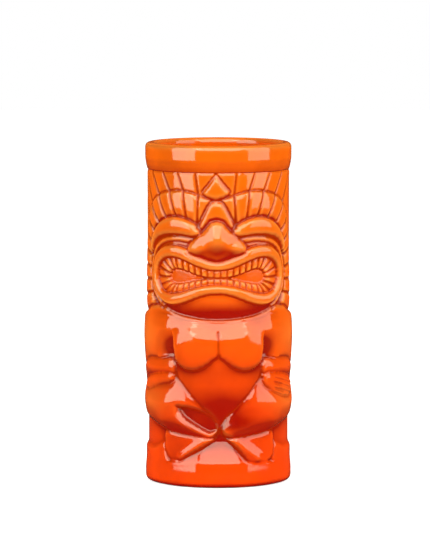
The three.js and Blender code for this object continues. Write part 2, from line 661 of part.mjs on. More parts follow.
const GLAZE_COLOUR = "#f2590f";
const BISQUE_COLOUR = "#e6d9c4";
const tint = new THREE.Color(GLAZE_COLOUR);
const shade = (k) => tint.clone().offsetHSL(0.004 * ((k % 5) - 2), 0, 0.012 * ((k % 3) - 1));
const glaze = (k) => new THREE.MeshStandardMaterial({ color: shade(k), roughness: 0.12, metalness: 0 });
const bisque = new THREE.MeshStandardMaterial({ color: BISQUE_COLOUR, roughness: 0.85, metalness: 0 });

const mug = new THREE.Group();
mug.name = "tiki_mug";

function addMesh(name, geometry, material) {
  const mesh = new THREE.Mesh(geometry, material);
  mesh.name = name;
  mug.add(mesh);
}

function addCarving(forms, over) {
  forms.forEach((each, k) => {
    if (each.name) addMesh(each.name, geometryOf(cutForm(each, over)), glaze(k));
    over.push(prism(grown(each.loop, GAP)));
  });
}

addMesh("cup_wall", cupWall(), glaze(0));
addMesh("rim_collar", rimCollar(), glaze(1));
addMesh("base_plinth", basePlinth(), glaze(2));
addMesh("foot_ring", footRing(), bisque);
addCarving(FORMS, []);
TEETH_ROWS.forEach((row) => addCarving([row], []));

// The nose stands out further than the back, so the cup's axis lies a little behind the footprint's middle.
const bounds = new THREE.Box3().setFromObject(mug);
mug.position.set(-(bounds.min.x + bounds.max.x) / 2, -(bounds.min.y + bounds.max.y) / 2, -bounds.min.z);

export default mug;
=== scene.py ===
# The looks of the glazed tiki mug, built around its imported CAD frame. Lengths are millimetres until a mesh is
# made. The carving is worked flat, as if the cup's wall were unrolled: s runs round the wall from the middle
# of the face, z runs up, and h is the height of the surface above CARVING_RADIUS.
import math

import bpy
import numpy as np
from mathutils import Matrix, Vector

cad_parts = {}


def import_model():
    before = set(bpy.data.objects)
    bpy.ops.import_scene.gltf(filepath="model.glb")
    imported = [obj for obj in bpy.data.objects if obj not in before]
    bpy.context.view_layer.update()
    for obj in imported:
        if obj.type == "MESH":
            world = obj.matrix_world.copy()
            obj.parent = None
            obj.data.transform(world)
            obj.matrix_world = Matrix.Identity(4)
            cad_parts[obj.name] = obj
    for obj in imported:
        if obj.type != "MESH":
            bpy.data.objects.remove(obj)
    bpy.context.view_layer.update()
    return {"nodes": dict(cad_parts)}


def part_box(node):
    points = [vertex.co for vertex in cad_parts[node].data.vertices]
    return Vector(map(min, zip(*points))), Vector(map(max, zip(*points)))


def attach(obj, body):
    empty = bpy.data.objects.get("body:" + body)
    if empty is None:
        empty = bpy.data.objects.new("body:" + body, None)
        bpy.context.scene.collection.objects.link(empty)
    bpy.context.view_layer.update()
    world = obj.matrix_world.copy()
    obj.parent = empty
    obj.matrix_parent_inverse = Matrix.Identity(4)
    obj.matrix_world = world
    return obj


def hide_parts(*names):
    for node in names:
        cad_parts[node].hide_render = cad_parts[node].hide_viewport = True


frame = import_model()

MM = 0.001
CARVING_RADIUS = 34.0
TURN = 2 * math.pi * CARVING_RADIUS
LEAN = 2 / 130  # the carving's centre line drifts sideways by this much per millimetre of height
UPRIGHT_Z = 72.0
CELL = 0.36  # size of the height field's cells
BACK_STRIDE = 3  # on the plain back, one mesh column stands for this many cells
FRONT_HALF = 64.0  # the mesh is fine for this far to either side of the middle of the face
TURNED = ("cup_wall", "rim_collar", "base_plinth", "foot_ring")
GAP = 0.3  # between neighbouring forms


def middle_of(node):
    low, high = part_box(node)
    return (low + high) / 2 / MM


def radius_of(node):
    low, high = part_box(node)
    return (high.x - low.x) / 2 / MM


AXIS = middle_of("rim_collar")
CARVED = sorted(name for name in frame["nodes"] if name not in TURNED)
FACE_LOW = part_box("base_plinth")[1].z / MM
FACE_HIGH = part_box("rim_collar")[0].z / MM


# ---------------------------------------------------------------- unrolling the frame

def lean(z):
    return LEAN * (UPRIGHT_Z - z)


def unrolled_triangles(name):
    """The node's triangles as an array of (triangle, corner, (s, z, h))."""
    mesh = frame["nodes"][name].data
    mesh.calc_loop_triangles()
    corners = np.empty(len(mesh.vertices) * 3)
    mesh.vertices.foreach_get("co", corners)
    corners = corners.reshape(-1, 3) / MM - np.array([AXIS.x, AXIS.y, 0])
    index = np.empty(len(mesh.loop_triangles) * 3, np.int32)
    mesh.loop_triangles.foreach_get("vertices", index)
    x, y, z = corners[index.reshape(-1, 3)].transpose(2, 0, 1)
    s = CARVING_RADIUS * np.arctan2(x, -y) - lean(z)
    if "back" in name:  # where s would otherwise jump from one end of its range to the other
        s %= TURN
    return np.stack([s, z, np.hypot(x, y) - CARVING_RADIUS], axis=2)


STEEPEST_FRONT = 0.3  # least outward part of a front face's unit normal


def facing_out(triangles):
    """Those that are front faces, and not the walls round a form or its back."""
    normal = np.cross(triangles[:, 1] - triangles[:, 0], triangles[:, 2] - triangles[:, 0])
    return triangles[normal[:, 2] > STEEPEST_FRONT * np.linalg.norm(normal, axis=1)]


# A groove's floor lies lower than this, and the faces beside it lie higher. The chest's only groove is in
# its middle, and elsewhere the chest may be as low as that groove's floor.
GROOVE_LEVELS = {"brow_tiles": -0.5, "crest_tiles": -0.5, "teeth": 0.2, "back_hair": -0.5, "chest": 0.6}
CHEST_GROOVE_HALF = 1.0


def faces_of(name):
    """A form's front triangles without the floors of its grooves."""
    triangles = facing_out(unrolled_triangles(name))
    s, _, h = triangles.mean(axis=1).T
    for start, level in GROOVE_LEVELS.items():
        if name.startswith(start):
            off_groove = (name == "chest") & (np.abs(s) > CHEST_GROOVE_HALF)
            triangles = triangles[(h > level) | off_groove]
            break
    return triangles


def covered(points, triangles):
    """Whether each of the points lies in one of the triangles."""
    inside = np.ones((len(points), len(triangles)), bool)
    for k in range(3):
        p, q = triangles[:, k, :2], triangles[:, (k + 1) % 3, :2]
        along = q - p
        across = points[:, None, :] - p[None, :, :]
        inside &= along[None, :, 0] * across[..., 1] - along[None, :, 1] * across[..., 0] >= 0
    return inside.any(axis=1)


CORNER_STEPS = 500  # corners closer than a millimetre divided by this are the same corner


def outline_of(triangles, across):
    """The edges with no part of the form just across them, as an array of (edge, end, (s, z))."""
    ends = np.round(triangles[:, :, :2] * CORNER_STEPS).astype(np.int64)
    edges = {}
    for i, corners in enumerate(ends):
        for k in range(3):
            key = tuple(sorted((tuple(corners[k]), tuple(corners[(k + 1) % 3]))))
            edges[key] = None if key in edges else (i, k)
    single = np.array([triangles[i, [k, (k + 1) % 3], :2] for i, k in filter(None, edges.values())])
    along = single[:, 1] - single[:, 0]
    length = np.linalg.norm(along, axis=1, keepdims=True)
    outside = np.stack([along[:, 1], -along[:, 0]], axis=1) / np.maximum(length, 1e-6)
    return single[~covered(single.mean(axis=1) + across * outside, triangles)]


# ---------------------------------------------------------------- the height field's grid

COLUMNS = int(round(TURN / CELL))
CELL_S = TURN / COLUMNS
ROWS = int(round((FACE_HIGH - FACE_LOW) / CELL))
CELL_Z = (FACE_HIGH - FACE_LOW) / ROWS
S = (np.arange(COLUMNS) + 0.5) * CELL_S - TURN / 2
Z = (np.arange(ROWS) + 0.5) * CELL_Z + FACE_LOW
S_GRID, Z_GRID = np.meshgrid(S, Z, indexing="ij")


def stamp(triangles, value, label):
    """Writes value into the cells whose centres lie in the triangles."""
    for a, b, c in triangles[:, :, :2]:
        low = np.minimum(np.minimum(a, b), c)
        high = np.maximum(np.maximum(a, b), c)
        first = int(math.floor((low[0] + TURN / 2) / CELL_S - 0.5))
        last = int(math.ceil((high[0] + TURN / 2) / CELL_S + 0.5))
        bottom = max(0, int((low[1] - FACE_LOW) / CELL_Z - 0.5))
        top = min(ROWS - 1, int((high[1] - FACE_LOW) / CELL_Z + 0.5))
        columns = np.arange(first, last + 1)
        rows = np.arange(bottom, top + 1)
        if len(rows) == 0:
            continue
        s = ((columns + 0.5) * CELL_S - TURN / 2)[:, None]
        z = Z[rows][None, :]
        inside = np.ones((len(columns), len(rows)), bool)
        for p, q in ((a, b), (b, c), (c, a)):
            inside &= (q[0] - p[0]) * (z - p[1]) - (q[1] - p[1]) * (s - p[0]) >= -1e-9
        i, j = np.nonzero(inside)
        label[columns[i] % COLUMNS, rows[j]] = value


def shifted(field, i, j):
    """The field moved by whole cells: round the cup in s, and held at the ends in z."""
    moved = np.roll(field, i, axis=0)
    if j:
        moved = np.roll(moved, j, axis=1)
        if j > 0:
            moved[:, :j] = moved[:, j:j + 1]
        else:
            moved[:, j:] = moved[:, j - 1:j]
    return moved


def blurred(field, sigma):
    """Gaussian blur, sigma in millimetres."""
    cells = sigma / CELL
    reach = max(1, int(math.ceil(3 * cells)))
    weights = np.exp(-0.5 * (np.arange(-reach, reach + 1) / cells) ** 2)
    weights /= weights.sum()
    rolled = sum(w * np.roll(field, k, axis=0) for k, w in zip(range(-reach, reach + 1), weights))
    padded = np.pad(rolled, ((0, 0), (reach, reach)), mode="reflect", reflect_type="odd")
    return sum(w * padded[:, k:k + ROWS] for k, w in enumerate(weights))


def distance_to(segments, s, z):
    """Distance from each point to the nearest of the segments."""
    result = np.empty(len(s))
    a, b = segments[:, 0], segments[:, 1]
    along = b - a
    length2 = np.maximum((along ** 2).sum(axis=1), 1e-9)
    for start in range(0, len(s), 4000):
        part = slice(start, start + 4000)
        ds = s[part, None] - a[None, :, 0]
        ds = (ds + TURN / 2) % TURN - TURN / 2
        dz = z[part, None] - a[None, :, 1]
        t = np.clip((ds * along[:, 0] + dz * along[:, 1]) / length2, 0, 1)
        result[part] = np.sqrt(((ds - t * along[:, 0]) ** 2 + (dz - t * along[:, 1]) ** 2).min(axis=1))
    return result


def spread(label, rounds):
    """Unmarked cells take the label of a marked neighbour, round by round."""
    for _ in range(rounds):
        for i, j in ((1, 0), (-1, 0), (0, 1), (0, -1)):
            near = shifted(label, i, j)
            label = np.where((label < 0) & (near >= 0), near, label)
    return label


HOLLOW_REACH = 0.75  # an unmarked place wider than twice this is a hollow, and not the gap between two forms
OUTLINE_ACROSS = 0.1
HAND_OUTLINE_ACROSS = 0.6  # wide enough to pass over the grooves between the fingers
FORM_ROUNDS = 80  # enough to reach across the widest gap and hollow
SOFT_WALL_START = 57.0  # the plain walls run together behind this


def on_soft_seam(name, s, z):
    """Whether points lie where the chest, the shoulders and the armpits, or the plain walls, run together."""
    if name.startswith("lower_wall"):
        return np.abs(s) > SOFT_WALL_START
    if name != "chest" and not name.startswith("shoulder"):
        return np.zeros(len(s), bool)
    beside_neck = (z > 75.5) & (z < 86.5) & (np.abs(s) > 22) & (np.abs(s) < 28)
    beside_armpit = (z > 60.5) & (z < 76.5) & (np.abs(s) < 34.5)
    return beside_neck | (beside_armpit & (name != "chest"))


def creases_of(name, outline):
    """The outline without its soft stretches, nor its foot, where the carving runs into the plinth."""
    s, z = outline.mean(axis=1).T
    s = (s + TURN / 2) % TURN - TURN / 2
    run = np.abs(outline[:, 1] - outline[:, 0])
    soft = (run[:, 1] > run[:, 0]) | ((z > 63.5) & (z < 76.5))
    return outline[~(on_soft_seam(name, s, z) & soft) & (z > FACE_LOW + 2 * GAP)]


label = np.full((COLUMNS, ROWS), -1)
raised = np.full((COLUMNS, ROWS), -1)
outlines = {}
for number, name in enumerate(CARVED):
    front = faces_of(name)
    across = HAND_OUTLINE_ACROSS if name.startswith("hand") else OUTLINE_ACROSS
    outlines[name] = creases_of(name, outline_of(front, across))
    stamp(facing_out(unrolled_triangles(name)), number, label)
    stamp(front, number, raised)
hollow = spread(label, int(HOLLOW_REACH / CELL)) < 0
for _ in range(int(HOLLOW_REACH / CELL)):
    for i, j in ((1, 0), (-1, 0), (0, 1), (0, -1)):
        hollow |= shifted(hollow, i, j) & (label < 0)
form = spread(label, FORM_ROUNDS)

inward = np.zeros((COLUMNS, ROWS))
for number, name in enumerate(CARVED):
    i, j = np.nonzero((form == number) & ~hollow)
    distance = distance_to(outlines[name], S[i], Z[j])
    inside = (raised[i, j] == number) | on_soft_seam(name, S[i], Z[j]) | name.startswith("hand")
    inward[i, j] = np.where(inside, distance, -distance)
all_edges = np.concatenate([outlines[name] for name in CARVED])
i, j = np.nonzero(hollow)
hollow_depth = np.zeros((COLUMNS, ROWS))
hollow_depth[i, j] = distance_to(all_edges, S[i], Z[j])
inward = np.maximum(inward + GAP / 2, 0)


# ---------------------------------------------------------------- heights of the carved forms

SKIN_BACK = unrolled_triangles("nose")[:, :, 2].min()
FINGER_WIDTH = 2.4
WALL_HEIGHT = -0.2
WALL_EDGE = 0.9
PLINTH_WIDEST = 6.0  # the height at which the plinth is widest
PLINTH_BULGE = radius_of("base_plinth") - CARVING_RADIUS


def hill(s, z, s0, z0, half_s, half_z):
    """A round hill of height 1 at (s0, z0)."""
    return np.exp(-(((s - s0) / half_s) ** 2) - ((z - z0) / half_z) ** 2)


def step01(x, start, end):
    """A smooth step from 0 at start to 1 at end."""
    t = np.clip((x - start) / (end - start), 0, 1)
    return t * t * (3 - 2 * t)


def ridge(s, z, start, end, width):
    """A rounded ridge of height 1 along the line from start to end."""
    return np.exp(-(distance_to(np.array([[start, end]], float), s, z) / width) ** 2)


def nose(s, z):
    bridge = 1.6 * hill(s, z, 0, 127, 4.4, 6)
    tip = 4.4 * hill(s, z, 0, 119.5, 6.4, 6.4)
    wings = 2.2 * (hill(s, z, 9.6, 116.2, 4.4, 3.4) + hill(s, z, -9.6, 116.2, 4.4, 3.4))
    return 1.6 + bridge + tip + wings


def cheek_fold(s, z):
    return 0.3 + 1.3 * step01(z, 86, 97)


def chin(s, z):
    return -0.5 + 1.5 * step01(z, 82, 92) * hill(s, z, 0, 92, 34, 20)


def torso(s, z):
    """The slope from the neckline to the chest, which fades into the round of the upper arms."""
    below = 81.2 + 3.6 * (np.minimum(np.abs(s), 27) / 25.6) ** 2 - z
    slope = 0.5 + 0.4 * step01(below, 1.5, 2.2) + 2.1 * step01(below, 1.8, 9)
    arm = 1.0 + 1.4 * hill(np.abs(s), z, 43, 72, 15, 14)
    outward = step01(np.abs(s), 25, 38)
    return slope * (1 - outward) + arm * outward


def dimple(s, z):
    return 4.6 * hill(np.abs(s), z, 24.2, 64.5, 5.8, 7.4)


def armpit(s, z):
    """The torso's height with the dimples of the armpits pressed into it."""
    return torso(s, z) - dimple(s, z)


def chest(s, z):
    """Two round breasts below the slope from the neckline."""
    from_middle = ((np.abs(s) - 11.8) / 11) ** 2 + ((z - 68) / 11.2) ** 2
    return torso(s, z) - dimple(s, z) * step01(z, 74, 76) + 1.6 * np.exp(-from_middle ** 2)


def belly(s, z):
    return -0.6 + 2.9 * hill(s, 0, 0, 0, 20, 1) * step01(z, 27, 50)


def forearm(s, z):
    return 0.8 + 1.4 * hill(np.abs(s), z, 38, 57.5, 17, 4.6)


def hand(s, z):
    """Only the right hand has fingers, which run outwards and a little down."""
    across = (z + 0.27 * (s - 29) - 52.4) / FINGER_WIDTH
    return 2.1 - 0.2 * np.cos(2 * math.pi * across) * step01(s, 27, 30)


def leg(s, z):
    knee = 3.2 * hill(np.abs(s), z, 33, 41, 19, 8)
    shin = 1.2 * ridge(np.abs(s), z, (28, 33), (3.5, 27.0), 5)
    return 0.5 + knee + shin


def foot(s, z):
    instep = 0.9 * ridge(np.abs(s), z, (5, 24.5), (18.5, 14.5), 2.4)
    slope = np.where(s < 0, -0.09, 0.02) * (20 - z)
    return 0.9 + slope + instep


def plinth_side(z):
    """The plinth's side is widest at PLINTH_WIDEST, and draws in to the edge of the wall above it."""
    return WALL_EDGE + (PLINTH_BULGE - WALL_EDGE) * step01(z, PLINTH_WIDEST + 7, PLINTH_WIDEST)


def ground_wedge(s, z):
    return np.maximum(1.0 - 0.22 * (z - FACE_LOW), -2.2)


def lower_wall(s, z):
    edge = 18.5 + 3.2 * (1 - step01(np.abs(s), 27, 40))
    return WALL_HEIGHT + (WALL_EDGE - WALL_HEIGHT) * step01(z, edge + 1.6, edge - 1.6)


def back_torso(s, z):
    off = TURN / 2 - np.abs(s)
    blades = hill(off, z, 18, 68, 12, 11) + hill(-off, z, 18, 68, 12, 11)
    seat = hill(off, z, 15, 40, 13, 6) + hill(-off, z, 15, 40, 13, 6)
    return 0.1 + 1.1 * blades + 0.9 * seat


def plain(h):
    return lambda s, z: np.full(len(s), float(h))


# Each form's height away from its edges, how far in from them it rises, and how deep the creases round it
# are.
SHAPES = {
    "nose": (nose, 2.2, 0.5),
    "lips": (plain(2.7), 2.6, 0.6),
    "forehead_gem": (plain(1.5), 2.2, 0.8),
    "brow_ridge": (plain(3.2), 4.2, 0.6),
    "brow_tiles": (plain(1.0), 1.0, 0.9),
    "crest_tiles": (plain(0.35), 0.9, 0.7),
    "cheek_fold": (cheek_fold, 1.3, 0.7),
    "cheek_left": (plain(1.2), 2.4, 0.7),
    "cheek_right": (plain(1.2), 2.4, 0.7),
    "teeth": (plain(0.9), 0.9, 0.9),
    "chin": (chin, 0.3, 0.2),
    "chest": (chest, 4.2, 0.2),
    "belly": (belly, 0.5, 0.2),
    "shoulder": (armpit, 3.0, 0.4),
    "forearm": (forearm, 3.2, 0.4),
    "hand": (hand, 3.4, 0.5),
    "leg": (leg, 5.0, 0.4),
    "foot": (foot, 2.4, 0.5),
    "ground_wedge": (ground_wedge, 1.5, 0.3),
    "lower_wall": (lower_wall, 2.0, 0.3),
    "back_hair": (plain(0.6), 1.8, 0.8),
    "back_torso": (back_torso, 3.0, 0.4),
}


def shape_of(name):
    return next(shape for start, shape in SHAPES.items() if name.startswith(start))


def marked(start):
    """1 in the cells of the forms whose names begin so."""
    return np.isin(form, [k for k, name in enumerate(CARVED) if name.startswith(start)]).astype(float)


TILE_ROLL = 1.5  # how much the band of tiles over the brows bulges as a whole
NECKLINE_RISE = 0.7
HOLLOW_RISE = 0.8
HOLLOW_CREASE = 0.1
CREASE_REACH = 3  # cells
CREASE_BLUR = 0.7
THINNEST_SKIN = 0.25
SKIN_BLUR = 0.27
COLLAR_EDGE = 0.15  # height of the carving where it meets the collar
CREASE_LINE_WIDTH = 0.28

# The floors of the hollows: the mouth, the armpits, and the bend of the knee and the slits under the brows.
in_mouth = (np.abs(S_GRID) < 27) & (np.abs(Z_GRID - 102) < 7)
in_armpit = np.abs(Z_GRID - 68) < 9
hollow_floor = np.where(in_armpit, armpit(S_GRID, Z_GRID), -0.6)
hollow_floor = np.where(in_mouth, -1.0, hollow_floor)
hollow_floor = np.where(np.abs(S_GRID) > 50, -0.1, hollow_floor)

crown = hollow_floor.copy()
rise_width = np.full((COLUMNS, ROWS), HOLLOW_RISE)
crease_depth = np.full((COLUMNS, ROWS), HOLLOW_CREASE)
for number, name in enumerate(CARVED):
    i, j = np.nonzero((form == number) & ~hollow)
    shape, width, depth = shape_of(name)
    crown[i, j] = shape(S[i], Z[j])
    rise_width[i, j] = width
    crease_depth[i, j] = depth
    if name == "chest" or name.startswith("shoulder"):
        beside_neckline = step01(Z[j], 73, 77) * step01(np.abs(S[i]), 36, 30)
        rise_width[i, j] = width + (NECKLINE_RISE - width) * beside_neckline
tiled = marked("brow_tiles")
crown += tiled * TILE_ROLL * (blurred(tiled, 1.8) - 0.6)


def lowest_near(field, reach):
    """The lowest value of the field within so many cells."""
    for i, j in ((1, 0), (0, 1)):
        field = np.minimum.reduce([shifted(field, k * i, k * j) for k in range(-reach, reach + 1)])
    return field


crease_floor = blurred(lowest_near(crown, CREASE_REACH), CREASE_BLUR) - blurred(crease_depth, CREASE_BLUR)
edge_distance = np.where(hollow, hollow_depth, inward)
share = np.clip(edge_distance / rise_width, 0, 1)
faceted = marked("forehead_gem")
rise = faceted * share + (1 - faceted) * np.sqrt(1 - (1 - share) ** 2)
height = crease_floor + (crown - crease_floor) * rise
height = np.maximum(height, SKIN_BACK + THINNEST_SKIN)
to_plinth = step01(Z_GRID, FACE_LOW + 2.4, FACE_LOW + 0.3)
height = height * (1 - to_plinth) + plinth_side(Z_GRID) * to_plinth
to_collar = step01(Z_GRID, FACE_HIGH - 0.9, FACE_HIGH)
height = height * (1 - to_collar) + COLLAR_EDGE * to_collar
height = blurred(height, SKIN_BLUR)

# Raised edges are lighter, for thinned glaze and a painted highlight, and less so below the chin; hollows are
# darker, as thicker glaze collects there, and large recesses and the undersides of forms get painted shade. A
# dark line shows in the creases.
inside_ends = step01(Z_GRID, FACE_LOW, FACE_LOW + 2.5) * step01(Z_GRID, FACE_HIGH, FACE_HIGH - 1)
thin_glaze_and_highlight = np.clip((height - blurred(height, 0.9)) * 2.6, 0, 1) * inside_ends
thin_glaze_and_highlight *= 0.2 + 0.8 * step01(Z_GRID, 82, 88)
# painted highlight patches on the knees and the upper arms, with thinned glaze
over_knees = 0.35 * hill(np.abs(S_GRID), Z_GRID, 38, 42, 13, 7)
over_shoulders = 0.4 * hill(np.abs(S_GRID), Z_GRID, 43, 73, 11, 10)
thin_glaze_and_highlight = np.clip(thin_glaze_and_highlight + over_knees + over_shoulders, 0, 1)
# Thicker glaze in small hollows, and painted shade in large recesses.
recess = 0.6 * (blurred(height, 2.0) - height) + 0.28 * (blurred(height, 7.0) - height)
recess *= 1 - 0.8 * in_mouth
# painted shade under the belly, the legs, the breasts and the chin
shade_below_belly = hill(S_GRID, Z_GRID, 0, 36, 16, 17)
shade_below_legs = 0.8 * hill(np.abs(S_GRID), Z_GRID, 18, 30, 18, 4.5)
shade_below_breasts = 0.3 * hill(np.abs(S_GRID), Z_GRID, 13, 57.5, 10, 3)
shade_below_chin = 0.35 * hill(S_GRID, Z_GRID, 0, 84, 26, 3.5)
pooled_and_shade = np.clip(recess + shade_below_belly + shade_below_legs + shade_below_breasts + shade_below_chin, 0, 1) * inside_ends
crease_line = np.exp(-(edge_distance / CREASE_LINE_WIDTH) ** 2) * inside_ends

# ---------------------------------------------------------------- which cells belong to which piece

def neighbours(cell):
    i, j = cell
    yield (i + 1) % COLUMNS, j
    yield (i - 1) % COLUMNS, j
    if j + 1 < ROWS:
        yield i, j + 1
    if j > 0:
        yield i, j - 1


def largest_patch(mask):
    """The largest connected patch of a mask."""
    left = mask.copy()
    best = []
    while left.any():
        i, j = np.argwhere(left)[0]
        patch = [(i, j)]
        left[i, j] = False
        for cell in patch:
            for near in neighbours(cell):
                if left[near]:
                    left[near] = False
                    patch.append(near)
        best = max(best, patch, key=len)
    kept = np.zeros_like(mask)
    kept[tuple(np.array(best).T)] = True
    return kept


PIECE_ROUNDS = 60


def tidy_pieces(piece):
    """Each piece is one patch, and no two of its cells touch only at a corner."""
    for number in range(len(CARVED)):
        stray = (piece == number) & ~largest_patch(piece == number)
        piece[stray] = -1
    piece = spread(piece, PIECE_ROUNDS)
    for _ in range(6):
        here, right = piece, shifted(piece, -1, 0)
        up, across = shifted(piece, 0, -1), shifted(shifted(piece, -1, 0), 0, -1)
        falling = (here == across) & (here != right) & (here != up)
        rising = (right == up) & (right != here) & (right != across)
        falling[:, -1] = rising[:, -1] = False
        if not (falling.any() or rising.any()):
            break
        piece = np.where(shifted(falling, 1, 0), shifted(piece, 1, 0), piece)
        piece = np.where(rising, right, piece)
    return piece


piece_of = tidy_pieces(form.copy())

# ---------------------------------------------------------------- the skin's grid of vertices

def node_columns():
    """Columns of the mesh: every cell line in front, and fewer behind."""
    lines = np.arange(COLUMNS + 1)
    s = lines * CELL_S - TURN / 2
    return [k for k in lines if abs(s[k]) <= FRONT_HALF or k % BACK_STRIDE == 0]


def sampled(field, s, z):
    """The field at points between cell centres."""
    u = (s + TURN / 2) / CELL_S - 0.5
    v = (z - FACE_LOW) / CELL_Z - 0.5
    i0, j0 = np.floor(u).astype(int), np.clip(np.floor(v).astype(int), 0, ROWS - 2)
    fu, fv = u - i0, v - j0
    a, b = field[i0 % COLUMNS, j0], field[(i0 + 1) % COLUMNS, j0]
    c, d = field[i0 % COLUMNS, j0 + 1], field[(i0 + 1) % COLUMNS, j0 + 1]
    return (a * (1 - fu) + b * fu) * (1 - fv) + (c * (1 - fu) + d * fu) * fv


columns = node_columns()[:-1]
node_s = (np.array(columns) * CELL_S - TURN / 2)[:, None] + np.zeros(ROWS + 1)
node_z = np.zeros(len(columns))[:, None] + np.arange(ROWS + 1) * CELL_Z + FACE_LOW
next_column = columns[1:] + [COLUMNS]
middle_cell = [(a + b) // 2 for a, b in zip(columns, next_column)]
quad_piece = piece_of[np.array(middle_cell) % COLUMNS]


def smooth_borders(node_s, node_z, rounds=8):
    """Moves the vertices on the borders between pieces so that the borders run smoothly."""
    left = np.roll(quad_piece, 1, axis=0)
    upright = np.zeros_like(node_s, bool)
    upright[:, :-1] = quad_piece != left
    level = np.zeros_like(node_s, bool)
    level[:, 1:-1] = quad_piece[:, 1:] != quad_piece[:, :-1]
    links = [(level, -1, 0), (np.roll(level, 1, axis=0), 1, 0), (upright, 0, -1)]
    below = np.zeros_like(upright)
    below[:, 1:] = upright[:, :-1]
    links.append((below, 0, 1))
    degree = sum(mask.astype(int) for mask, _, _ in links)
    movable = degree == 2
    movable[:, 0] = movable[:, -1] = False
    for _ in range(rounds):
        total_s = np.zeros_like(node_s)
        total_z = np.zeros_like(node_z)
        for mask, i, j in links:
            other_s = np.roll(np.roll(node_s, i, axis=0), j, axis=1)
            other_z = np.roll(np.roll(node_z, i, axis=0), j, axis=1)
            other_s = node_s + (other_s - node_s + TURN / 2) % TURN - TURN / 2
            total_s += np.where(mask, other_s, 0)
            total_z += np.where(mask, other_z, 0)
        node_s = np.where(movable, 0.5 * node_s + 0.25 * total_s, node_s)
        node_z = np.where(movable, 0.5 * node_z + 0.25 * total_z, node_z)
    return node_s, node_z


node_s, node_z = smooth_borders(node_s, node_z)


def wrapped(s, z, h):
    """Points in metres from flat ones in millimetres."""
    angle = (s + lean(z)) / CARVING_RADIUS
    radius = CARVING_RADIUS + h
    x = radius * np.sin(angle) + AXIS.x
    y = -radius * np.cos(angle) + AXIS.y
    return np.stack([x, y, z], axis=-1) * MM


def surface_normals(s, z):
    step = 0.25

    def at(ds, dz):
        return wrapped(s + ds, z + dz, sampled(height, s + ds, z + dz))

    across = at(step, 0) - at(-step, 0)
    up = at(0, step) - at(0, -step)
    normal = np.cross(across, up)
    return normal / np.linalg.norm(normal, axis=-1, keepdims=True)


outer = wrapped(node_s, node_z, sampled(height, node_s, node_z))
inner = wrapped(node_s, node_z, np.full_like(node_s, SKIN_BACK))
outer_normal = surface_normals(node_s, node_z)
centre = np.array([AXIS.x, AXIS.y, 0]) * MM
inner_normal = -(inner - centre)
inner_normal[..., 2] = 0
inner_normal /= np.linalg.norm(inner_normal, axis=-1, keepdims=True)
glaze_values = {
    "thin_glaze_and_highlight": sampled(thin_glaze_and_highlight, node_s, node_z),
    "pooled_and_shade": sampled(pooled_and_shade, node_s, node_z),
    "crease_line": sampled(crease_line, node_s, node_z),
}
grid_columns = len(columns)
node_number = np.arange(grid_columns * (ROWS + 1)).reshape(grid_columns, ROWS + 1)


def mesh_from(name, faces, points, normals, values):
    """A closed mesh of the points that the faces use, with smooth shading, their normals and glaze values."""
    sizes = np.array([len(face) for face in faces])
    used, corners = np.unique(np.concatenate(faces), return_inverse=True)
    mesh = bpy.data.meshes.new(name)
    mesh.vertices.add(len(used))
    mesh.vertices.foreach_set("co", points[used].astype(np.float32).ravel())
    mesh.loops.add(len(corners))
    mesh.loops.foreach_set("vertex_index", corners.astype(np.int32))
    mesh.polygons.add(len(faces))
    mesh.polygons.foreach_set("loop_start", (np.cumsum(sizes) - sizes).astype(np.int32))
    mesh.update(calc_edges=True)
    mesh.validate()
    mesh.polygons.foreach_set("use_smooth", np.ones(len(mesh.polygons), bool))
    for key, value in values.items():
        layer = mesh.attributes.new(key, "FLOAT", "POINT")
        layer.data.foreach_set("value", value[used].astype(np.float32))
    if normals is not None:
        mesh.normals_split_custom_set_from_vertices([tuple(n) for n in normals[used]])
    obj = bpy.data.objects.new(name, mesh)
    bpy.context.scene.collection.objects.link(obj)
    return obj


def carved_piece(number):
    """One form as a closed solid: its part of the skin, the same patch by the cup, and walls between."""
    mine = quad_piece == number
    i, j = np.nonzero(mine)
    i1 = (i + 1) % grid_columns
    total = node_number.size
    corners = (i, j), (i1, j), (i1, j + 1), (i, j + 1)
    front = np.stack([node_number[corner] for corner in corners], 1)
    back = front[:, ::-1] + total
    walls = []
    padded = np.pad(mine, ((0, 0), (1, 1)))
    sides = (
        (~np.roll(mine, 1, axis=0), (3, 0)), (~np.roll(mine, -1, axis=0), (1, 2)),
        (~padded[:, :-2], (0, 1)), (~padded[:, 2:], (2, 3)),
    )
    for open_side, (p, q) in sides:
        at = open_side[i, j]
        a, b = front[at, p], front[at, q]
        walls.append(np.stack([b, a, a + total, b + total], 1))
    quads = np.concatenate([front, back] + walls)
    points = np.concatenate([outer.reshape(-1, 3), inner.reshape(-1, 3)])
    normals = np.concatenate([outer_normal.reshape(-1, 3), inner_normal.reshape(-1, 3)])
    values = {key: np.append(value.ravel(), np.zeros(total)) for key, value in glaze_values.items()}
    return mesh_from("glazed_" + CARVED[number], quads, points, normals, values)


# ---------------------------------------------------------------- the plain turned pieces

TURN_SEGMENTS = 240
CUP_INSIDE = 28.3
RIM_INSIDE = 30.2
COLLAR_LOW_RADIUS = 34.35
FLOOR_TOP = 7.0
FOOT_WIDTH = 4.4
RIM_RADIUS = radius_of("rim_collar")
CUP_OUTSIDE = radius_of("cup_wall")
FOOT_OUTSIDE = radius_of("foot_ring")
COLLAR_LOW, RIM_TOP = (corner.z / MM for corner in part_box("rim_collar"))
CUP_LOW, CUP_HIGH = (corner.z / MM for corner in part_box("cup_wall"))
PLINTH_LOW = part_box("base_plinth")[0].z / MM
FOOT_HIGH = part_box("foot_ring")[1].z / MM


